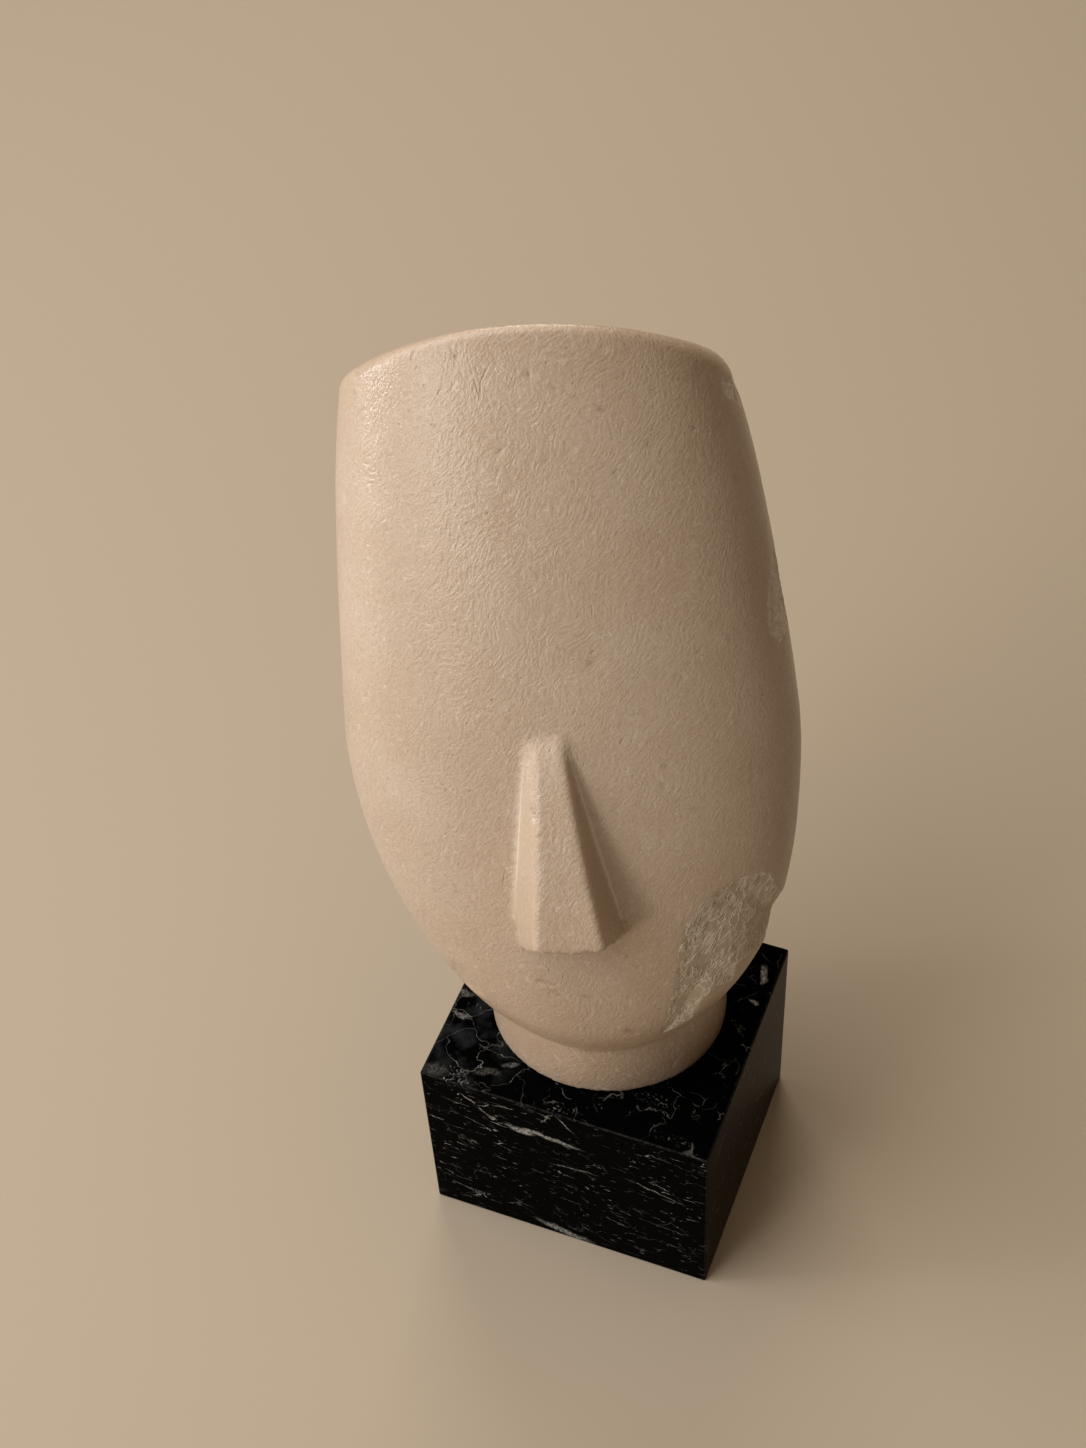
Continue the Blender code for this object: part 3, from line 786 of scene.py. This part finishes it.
def cast_stone(sizes, place):
    """Cast limestone, rubbed by hand and waxed: a warm, nearly matt body with fine grain, small
    nicks, a few open pores and a soft sheen. Its breaks are rougher, paler and greyer."""
    material, tree, shader = new_material(
        "cast limestone, rubbed and waxed", {"IOR": 1.5, "Coat Weight": 0.22, "Coat Roughness": 0.2}
    )
    node = partial(add_node, tree)
    own = node("ShaderNodeMapping", {
        "Vector": node("ShaderNodeTexCoord", output="Object"),
        "Location": place.translation, "Rotation": place.to_euler("XYZ"), "Scale": (MM, MM, MM),
    }, **TEXTURE)
    parts = node("ShaderNodeSeparateXYZ", {0: own}, output=None).outputs

    # The rubbing marks slant and swirl, and are twice as long as wide.
    drift = node(NOISE, {"Vector": own, "Scale": MM / SWIRL, "Detail": 1.0}, 1)
    swirled = node(VECTOR_MATH, {0: drift, 1: (SWIRL_REACH / MM,) * 3, 2: own}, **MULTIPLY_ADD)
    slanted = node("ShaderNodeMapping", {
        "Vector": swirled, "Rotation": (0, STROKE_LEAN, 0), "Scale": (1.0, 1.0, 2.2),
    }, **TEXTURE)
    # The rasp's marks on the neck run nearly upright, and are much longer than wide.
    rasped = node("ShaderNodeMapping", {
        "Vector": own, "Rotation": (0, -24 * DEGREE, 0), "Scale": (1.0, 1.0, 14.0),
    }, **TEXTURE)

    # Noises by their size in mm: rubbing marks, sand, clouds, pale spots, the ragged rims of the
    # breaks, long lines that curl, where these show, and the rasp. The sand is finer than the
    # render can show, and is drawn coarser than it is.
    strokes, sand, clouds, spots, rims, curls, curled, rasp = (
        node(NOISE, {"Vector": base, "Scale": 1 / size, "Detail": detail})
        for base, size, detail in (
            (slanted, 1.0, 2.0), (own, 0.6, 2.0), (own, 30.0, 2.0), (slanted, 1.3, 1.0),
            (own, 1.8, 2.0), (own, 4.0, 1.0), (slanted, 2.6, 1.0), (rasped, 1.4, 1.0),
        )
    )
    # The crests of the breaks follow the rubbing marks; their pale is part bruise, part painted
    # highlight.
    torn = from_middle(node, node(NOISE, {
        "Vector": slanted, "Scale": 1 / 2.6, "Detail": 3.0, "Roughness": 0.5, "Distortion": 0.4,
    }))

    # Pores 0.6 mm across and nicks 0.5 by 1.2 mm, each in about half the cells of its own net.
    holes = []
    for base, size, core, rim, rare in ((own, 9.0, 0.02, 0.05, 0.55), (slanted, 3.2, 0.04, 0.13, 0.5)):
        cells = node("ShaderNodeTexVoronoi", {"Vector": base, "Scale": 1 / size}, output=None).outputs
        hole = node(MAP_RANGE, {
            "Value": cells["Distance"], "From Min": rim, "From Max": core,
        }, **SMOOTH)
        shown = node(MATH, {0: cells["Color"], 1: rare}, operation="GREATER_THAN")
        holes.append(node(MATH, {0: hole, 1: shown}, **MULTIPLY))
    pore, nick = holes

    # The small dark marks of the face and the pale lines beside the nose, on the front only.
    level = node(VECTOR_MATH, {0: own, 1: (1.0, 0.0, 1.0)}, **MULTIPLY)
    front = node(MATH, {0: parts["Y"], 1: 0.0}, operation="LESS_THAN")
    cut, seam = (
        node(MATH, {0: in_lines(node, level, lines), 1: front}, **MULTIPLY)
        for lines in (MARKS, CREASE_LINES)
    )

    # Where the mesh says the stone is broken, chalky, creased, pitted or part of the neck.
    fresh, chalk, pit, painted_crease_shade, paled_crease, neck = (
        node("ShaderNodeAttribute", output="Fac", attribute_name=name)
        for name in ("fresh", "chalk", "pit", "painted crease shade", "pale crease", "neck")
    )
    ragged = node(MATH, {0: rims, 1: 0.9, 2: fresh}, **MULTIPLY_ADD)
    broken, outer, inner, bitten, curl, shown, rasp, spot = (
        node(MAP_RANGE, {"Value": value, "From Min": none, "From Max": full}, **SMOOTH)
        for value, none, full in (
            (ragged, 0.85, 1.0), (ragged, 0.7, 0.95), (ragged, 1.3, 1.0), (strokes, 0.46, 0.54),
            (from_middle(node, curls), 0.026, 0.008), (curled, 0.56, 0.64), (rasp, 0.66, 0.72),
            (spots, 0.6, 0.75),
        )
    )
    crest, low, trough, pale_grain_glint, speck, pale, deep, scuffed = (
        node(MAP_RANGE, {
            "Value": value, "From Min": none, "From Max": full, "To Min": least, "To Max": most,
        })
        for value, none, full, least, most in (
            (torn, 0.09, 0.0, 0.0, 1.0), (parts["Z"], 110.0, 20.0, 0.0, 1.0),
            (strokes, 0.5, 0.3, 0.0, 1.0), (sand, 0.52, 0.7, 0.0, 1.0), (sand, 0.48, 0.3, 0.0, 1.0),
            # Clouds, then painted shade between the breaks' crests, then chalk on the fresh breaks.
            (clouds, 0.35, 0.7, 0.0, 0.3), (torn, 0.12, 0.25, 0.0, 0.18), (torn, 0.10, 0.02, 0.5, 1.0),
        )
    )
    # Fine curled scratches, each a short piece of its long line, and bruises along the rims.
    curl, rasp, bruise, scuffed = (
        node(MATH, {0: value, 1: share}, **MULTIPLY)
        for value, share in ((curl, shown), (rasp, neck), (outer, inner), (scuffed, chalk))
    )
    bruise = node(MATH, {0: bruise, 1: bitten}, **MULTIPLY)

    skin = laid_over(node, sizes.skin, (
        (1.0, pale, sizes.pale),
        # Painted shade, darker towards the chin.
        (0.28, low, sizes.painted_chin_shade),
        (0.4, spot, sizes.pale),
        # Pale grains, part the stone's grain and part painted glint.
        (0.3, pale_grain_glint, sizes.pale),
        (0.14, speck, sizes.dark),
        (0.12, trough, sizes.dark),
        (0.3, nick, sizes.dark),
        (0.7, pore, sizes.dark),
        (0.5, pit, sizes.dark),
        (0.18, cut, sizes.dark),
        (0.16, curl, sizes.crushed),
        (0.3, rasp, sizes.crushed),
        (0.3, paled_crease, sizes.crushed),
        (0.4, seam, sizes.crushed),
    ))
    # In the breaks: pale crests, part bruise and part painted highlight, and painted shade between
    # them.
    crumb = laid_over(node, sizes.broken, (
        (0.5, crest, sizes.crushed), (1.0, deep, sizes.dark), (1.0, scuffed, sizes.crushed),
    ))
    # Over the skin: the breaks, the white bruises on their rims and painted shade in the creases below
    # the nose.
    colour = laid_over(node, skin, (
        (1.0, broken, crumb), (0.85, bruise, sizes.crushed), (0.55, painted_crease_shade, sizes.dark),
    ))

    height = node(MATH, {0: sand, 1: 0.5, 2: strokes}, **MULTIPLY_ADD)
    for share, hole in ((-0.8, pore), (-0.4, nick), (-0.2, rasp), (-0.5, cut), (-0.15, curl)):
        height = node(MATH, {0: hole, 1: share, 2: height}, **MULTIPLY_ADD)
    rugged = node(MATH, {0: sand, 1: 0.5, 2: crest}, **MULTIPLY_ADD)
    rugged = node(MATH, {0: rugged, 1: 1.3}, **MULTIPLY)
    height = node("ShaderNodeMix", {0: broken, 2: height, 3: rugged}, data_type="FLOAT")
    bump = node("ShaderNodeBump", {"Height": height, "Strength": 0.8, "Distance": 0.25 * MM})
    sheen = node(MAP_RANGE, {
        "Value": clouds, "From Min": 0.35, "From Max": 0.65, "To Min": 0.29, "To Max": 0.37,
    })
    roughness = node(MATH, {0: broken, 1: 0.3, 2: sheen}, **MULTIPLY_ADD)
    for name, value in (
        ("Base Color", colour), ("Roughness", roughness), ("Normal", bump), ("Coat Normal", bump),
    ):
        tree.links.new(value, shader.inputs[name])
    return material


def black_marble(sizes):
    """Black marble, ground and polished: a near black mirror, thin broken calcite veins that lie
    nearly level, a few thick lenses of calcite and a clouded front left corner."""
    material, tree, shader = new_material(
        "black marble, polished", {"Roughness": 0.08, "IOR": 1.5, "Specular IOR Level": 0.005}
    )
    node = partial(add_node, tree)
    own = node("ShaderNodeMapping", {
        "Vector": node("ShaderNodeTexCoord", output="Object"), "Scale": (1 / MM,) * 3,
    })

    # The beds dip 4 degrees to the right, and the dashes are four times as long as they are high.
    # Each net of cracks shows only where its own noise is high, which breaks it into dashes.
    beds = node("ShaderNodeMapping", {
        "Vector": own, "Rotation": (0, 4 * DEGREE, 0), "Scale": (1.0, 1.0, 0.25),
    }, **TEXTURE)
    veins = 0.0
    for size, width, cover, seed in ((12, 0.015, 0.60, 3), (7, 0.018, 0.67, 17), (19, 0.011, 0.55, 29)):
        moved = node(VECTOR_MATH, {0: beds, 1: (seed, -seed, 2 * seed)}, operation="ADD")
        drift = node(NOISE, {"Vector": moved, "Scale": 2 / size, "Detail": 2.0}, 1)
        bent = node(VECTOR_MATH, {0: drift, 1: (0.6 * size,) * 3, 2: moved}, **MULTIPLY_ADD)
        crack = node("ShaderNodeTexVoronoi", {"Vector": bent, "Scale": 1 / size},
                     feature="DISTANCE_TO_EDGE")
        shown = node(NOISE, {"Vector": moved, "Scale": 1.8 / size, "Detail": 3.0})
        line, shown = (
            node(MAP_RANGE, {"Value": value, "From Min": none, "From Max": full}, **SMOOTH)
            for value, none, full in ((crack, width * 1.6, width * 0.3), (shown, cover, cover + 0.07))
        )
        line = node(MATH, {0: line, 1: shown}, **MULTIPLY)
        veins = node(MATH, {0: veins, 1: line}, **MAXIMUM)

    # Noises by their size in mm: where dashes are common, the grit of a lens, the haze of the mist
    # and where veins are faint.
    region, grit, haze, faint = (
        node(NOISE, {"Vector": base, "Scale": 1 / size, "Detail": detail})
        for base, size, detail in ((own, 24, 1.0), (own, 0.9, 3.0), (beds, 7, 4.0), (own, 6, 2.0))
    )

    # The saw cut the top along the beds, so few of the dashes reach it.
    height = node("ShaderNodeSeparateXYZ", {0: own}, 2)
    below = node(MAP_RANGE, {
        "Value": height, "From Min": 77.0, "From Max": 79.0, "To Min": 1.0, "To Max": 0.3,
    })
    region = node(MAP_RANGE, {
        "Value": region, "From Min": 0.40, "From Max": 0.56, "To Min": 0.15,
    }, **SMOOTH)
    for share in (below, region):
        veins = node(MATH, {0: veins, 1: share}, **MULTIPLY)

    # Flecks 0.5 by 2 mm, where single crystals lie between the dashes of the sides.
    flecks = node("ShaderNodeTexVoronoi", {"Vector": beds, "Scale": 1 / 7}, output=None).outputs
    fleck = node(MAP_RANGE, {"Value": flecks["Distance"], "From Min": 0.15, "From Max": 0.06}, **SMOOTH)
    shown = node(MAP_RANGE, {"Value": flecks["Color"], "From Min": 0.62, "From Max": 0.9})
    beside = node(MATH, {0: height, 1: 79.0}, operation="LESS_THAN")
    for share in (shown, beside):
        fleck = node(MATH, {0: fleck, 1: share}, **MULTIPLY)
    veins = node(MATH, {0: veins, 1: fleck}, **MAXIMUM)

    # Veins and lenses in their own places, bent a little so that none is a clean ellipse.
    drift = node(NOISE, {"Vector": own, "Scale": 1 / 5, "Detail": 3.0}, 1)
    drift = node(VECTOR_MATH, {0: drift, 1: (0.5,) * 3}, operation="SUBTRACT")
    bent = node(VECTOR_MATH, {0: drift, 1: (4.0,) * 3, 2: own}, **MULTIPLY_ADD)
    lenses = [
        in_oval(node, bent, (x, FRONT, z), (wide, 3, high), (0, turn * DEGREE, 0), 0.4, 1.0, strength)
        for x, z, wide, high, turn, strength in FRONT_VEINS
    ]
    lenses += [
        in_oval(node, bent, (x, y, TOP), (wide, long, deep), (0, 0, turn * DEGREE), 0.4, 1.0, strength)
        for x, y, wide, long, deep, turn, strength in TOP_VEINS
    ]
    speckled = node(MAP_RANGE, {"Value": grit, "From Min": 0.54, "From Max": 0.72}, **SMOOTH)
    for x, y, wide, long, strength in TOP_SPECKS:
        patch = in_oval(node, bent, (x, y, TOP), (wide, long, 2), (0, 0, 0), 0.1, 1.1, strength)
        lenses.append(node(MATH, {0: patch, 1: speckled}, **MULTIPLY))
    cloud = 0.0
    for lens in lenses:
        cloud = node(MATH, {0: cloud, 1: lens}, **MAXIMUM)

    # Hairlines that link the dashes, a well bent net 13 mm wide that fades in and out. Real ones are
    # finer than the render can show, and are drawn 0.2 mm wide. Over the left of the top and its
    # front corner the net is whole, and lies under a thin mist.
    near = in_oval(node, bent, (-38, -22, TOP), (20, 26, 7), (0, 0, 0), 0.6, 1.1)
    sway = node(NOISE, {"Vector": own, "Scale": 1 / 9, "Detail": 3.0}, 1)
    crooked = node(VECTOR_MATH, {0: sway, 1: (14.0, 14.0, 9.0), 2: own}, **MULTIPLY_ADD)
    crooked = node("ShaderNodeMapping", {
        "Vector": crooked, "Rotation": (0, 12 * DEGREE, 0), "Scale": (1.0, 1.0, 0.6),
    }, **TEXTURE)
    net = node("ShaderNodeTexVoronoi", {"Vector": crooked, "Scale": 1 / 13}, feature="DISTANCE_TO_EDGE")
    seen = node(NOISE, {"Vector": crooked, "Scale": 1 / 8, "Detail": 3.0})

    # Painted highlight: the arrises are painted paler, in dashes, for the light the polished edges
    # catch.
    normal = node("ShaderNodeNewGeometry", output="Normal")
    normal = node(VECTOR_MATH, {0: normal}, operation="ABSOLUTE")
    sides = node("ShaderNodeSeparateXYZ", {0: normal}, output=None).outputs
    flat = node(MATH, {0: sides["X"], 1: sides["Y"]}, **MAXIMUM)
    flat = node(MATH, {0: flat, 1: sides["Z"]}, **MAXIMUM)

    net, seen, haze, grit_share, faint, arris = (
        node(MAP_RANGE, {
            "Value": value, "From Min": none, "From Max": full, "To Min": least, "To Max": most,
        })
        for value, none, full, least, most in (
            (net, 0.010, 0.001, 0.0, 1.0), (seen, 0.50, 0.68, 0.0, 0.4), (haze, 0.45, 0.75, 0.0, 0.6),
            (grit, 0.38, 0.62, 0.2, 1.0), (faint, 0.35, 0.65, 0.35, 1.0), (flat, 0.99, 0.9, 0.0, 0.05),
        )
    )
    whole = node(MATH, {0: near, 1: 0.3, 2: seen}, **MULTIPLY_ADD)
    net = node(MATH, {0: net, 1: whole}, **MULTIPLY)
    veins = node(MATH, {0: veins, 1: net}, **MAXIMUM)
    colour = laid_over(node, sizes.ground, (
        (near, haze, sizes.mist), (grit_share, cloud, sizes.vein), (faint, veins, sizes.vein),
        # Painted highlight on the arrises.
        (grit_share, arris, sizes.vein),
    ))
    tree.links.new(colour, shader.inputs["Base Color"])
    return material


def floor_finish(sizes):
    """Painted board, rolled matt: plain and pale, with no grain that shows from here."""
    values = {"Base Color": sizes.floor, "Roughness": 0.8, "Specular IOR Level": 0.2}
    return new_material("painted board, matt", values)[0]


class SCULPTURE_OT_head(bpy.types.Operator):
    """Make the cast stone head in one piece with its neck and nose"""

    bl_idname = "sculpture.make_head"
    bl_label = "Make the head"

    def execute(self, context):
        sizes = context.scene.stone_head
        place = head_matrix()
        neck_place = Matrix.Translation(NECK_PLACE) @ Matrix.Rotation(TURN, 4, "Z")
        neck_place.translation.z = PLINTH_BOX[1].z + SEAT_JOINT
        body = bmesh.new()
        for data, matrix in (
            (skull_mesh(sizes), place), (nose_mesh(sizes), place), (neck_mesh(), neck_place),
        ):
            data.transform(matrix)
            body.from_mesh(data)
            bpy.data.meshes.remove(data)
        bmesh.ops.recalc_face_normals(body, faces=body.faces)
        joined = bpy.data.meshes.new("joined")
        body.to_mesh(joined)
        body.free()
        head = new_object("stone_head", joined)
        remesh = head.modifiers.new("one skin", "REMESH")
        remesh.mode = "VOXEL"
        remesh.voxel_size = VOXEL
        smooth = head.modifiers.new("soft edges", "SMOOTH")
        smooth.factor = 0.5
        smooth.iterations = 2
        head.data = settled_mesh(head, "stone_head")
        bpy.data.meshes.remove(joined)
        carve_breaks(sizes, head.data, place.inverted())
        relief = head.modifiers.new("relief", "NODES")
        relief.node_group = relief_tree()
        set_inputs(relief, {
            "Wave depth": sizes.wave_depth, "Wave length": 24 * MM, "Wave width": 24 * MM,
            "Ripple depth": sizes.ripple_depth, "Ripple length": 6 * MM, "Ripple width": 2.8 * MM,
            "Fracture depth": sizes.fracture_depth, "Fracture length": 6 * MM,
            "Fracture width": 2.6 * MM, "Pit spacing": sizes.pit_spacing,
            "Pit radius": sizes.pit_radius, "Pit depth": sizes.pit_depth,
            "Head turn": place.to_euler("XYZ"), "Seed": sizes.seed, "Stone": cast_stone(sizes, place),
        })
        head.data = settled_mesh(head, "stone_head")
        head.data.shade_smooth()
        if not head.data.polygons:
            raise RuntimeError("the head came out empty")
        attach(head, "root")
        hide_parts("head")
        return {"FINISHED"}


class SCULPTURE_OT_plinth(bpy.types.Operator):
    """Make the polished marble plinth"""

    bl_idname = "sculpture.make_plinth"
    bl_label = "Make the plinth"

    def execute(self, context):
        sizes = context.scene.marble_plinth
        low, high = PLINTH_BOX
        block = bmesh.new()
        bmesh.ops.create_cube(block, size=1)
        bmesh.ops.scale(block, verts=block.verts, vec=high - low)
        bmesh.ops.translate(block, verts=block.verts, vec=(low + high) / 2)
        data = bpy.data.meshes.new("marble_plinth")
        block.to_mesh(data)
        block.free()
        plinth = new_object("marble_plinth", data)
        edge = plinth.modifiers.new("arris", "BEVEL")
        edge.width = sizes.arris
        edge.segments = 4
        edge.harden_normals = True
        plinth.data = settled_mesh(plinth, "marble_plinth")
        plinth.data.materials.append(black_marble(sizes))
        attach(plinth, "root")
        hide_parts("plinth")
        return {"FINISHED"}


class SCULPTURE_OT_stage(bpy.types.Operator):
    """Make the pale floor, the soft light and the camera"""

    bl_idname = "sculpture.make_stage"
    bl_label = "Make the stage"

    def execute(self, context):
        sizes = context.scene.plain_stage
        data = bpy.data.meshes.new("floor")
        corners = [(x * FLOOR_HALF, y * FLOOR_HALF, 0) for x, y in ((-1, -1), (1, -1), (1, 1), (-1, 1))]
        data.from_pydata(corners, [], [(0, 1, 2, 3)])
        floor = new_object("floor", data)
        data.materials.append(floor_finish(sizes))
        for name, place, size, power, colour in (
            ("key", (-0.95, -0.62, 1.40), (1.8, 1.6), sizes.key_power, (1.0, 0.98, 0.97)),
            ("low", (-0.55, -1.36, 0.45), (0.35, 0.35), sizes.low_power, (1.0, 0.93, 0.84)),
            ("corner", (-1.16, -0.53, 0.30), (0.18, 0.18), sizes.corner_power, (1.0, 0.98, 0.97)),
            ("top", (0.0, 0.0, 1.8), (1.2, 1.2), sizes.top_power, (1.0, 0.78, 0.55)),
            ("rim", (-0.6, 1.2, 1.2), (0.9, 0.6), sizes.rim_power, (1.0, 0.90, 0.78)),
        ):
            lamp = bpy.data.lights.new(name, "AREA")
            lamp.shape = "RECTANGLE"
            lamp.size, lamp.size_y = size
            lamp.energy = power
            lamp.color = colour
            light = new_object(name, lamp)
            light.location = place
            aim = Vector(LIGHTS_AIM) - light.location
            light.rotation_euler = aim.to_track_quat("-Z", "Y").to_euler()
        world = bpy.data.worlds.new("soft room")
        context.scene.world = world
        world.use_nodes = True
        sky = world.node_tree.nodes["Background"]
        sky.inputs["Color"].default_value = linear(ROOM_COLOUR)
        sky.inputs["Strength"].default_value = ROOM_STRENGTH
        lens = bpy.data.cameras.new("camera")
        lens.lens = CAMERA_LENS
        lens.sensor_width = CAMERA_SENSOR
        lens.clip_start, lens.clip_end = 0.05, 50
        camera = new_object("camera", lens)
        back = Vector((
            math.sin(CAMERA_AZIMUTH) * math.cos(CAMERA_ELEVATION),
            -math.cos(CAMERA_AZIMUTH) * math.cos(CAMERA_ELEVATION),
            math.sin(CAMERA_ELEVATION),
        ))
        right = Vector((0, 0, 1)).cross(back).normalized()
        up = back.cross(right)
        across = right * math.cos(CAMERA_ROLL) + up * math.sin(CAMERA_ROLL)
        upright = up * math.cos(CAMERA_ROLL) - right * math.sin(CAMERA_ROLL)
        turn = Matrix((across, upright, back)).transposed().to_4x4()
        camera.matrix_world = Matrix.Translation(CAMERA_PLACE) @ turn
        context.scene.camera = camera
        context.scene.view_settings.view_transform = "Standard"
        return {"FINISHED"}


class SCULPTURE_PT_panel(bpy.types.Panel):
    """The pieces, with their sizes and colours"""

    bl_idname = "SCULPTURE_PT_panel"
    bl_label = "Stone Head"
    bl_space_type = "VIEW_3D"
    bl_region_type = "UI"
    bl_category = "Stone Head"

    def draw(self, context):
        scene = context.scene
        for settings, operator in (
            (scene.stone_head, SCULPTURE_OT_head),
            (scene.marble_plinth, SCULPTURE_OT_plinth),
            (scene.plain_stage, SCULPTURE_OT_stage),
        ):
            box = self.layout.box()
            box.operator(operator.bl_idname)
            for name in settings.__annotations__:
                box.prop(settings, name)


CLASSES = (
    HeadSettings, PlinthSettings, StageSettings,
    SCULPTURE_OT_head, SCULPTURE_OT_plinth, SCULPTURE_OT_stage, SCULPTURE_PT_panel,
)


def register():
    for cls in CLASSES:
        bpy.utils.register_class(cls)
    bpy.types.Scene.stone_head = PointerProperty(type=HeadSettings)
    bpy.types.Scene.marble_plinth = PointerProperty(type=PlinthSettings)
    bpy.types.Scene.plain_stage = PointerProperty(type=StageSettings)


def unregister():
    del bpy.types.Scene.stone_head, bpy.types.Scene.marble_plinth, bpy.types.Scene.plain_stage
    for cls in reversed(CLASSES):
        bpy.utils.unregister_class(cls)


def main():
    register()
    bpy.ops.sculpture.make_stage()
    bpy.ops.sculpture.make_plinth()
    bpy.ops.sculpture.make_head()


if __name__ == "__main__":
    main()
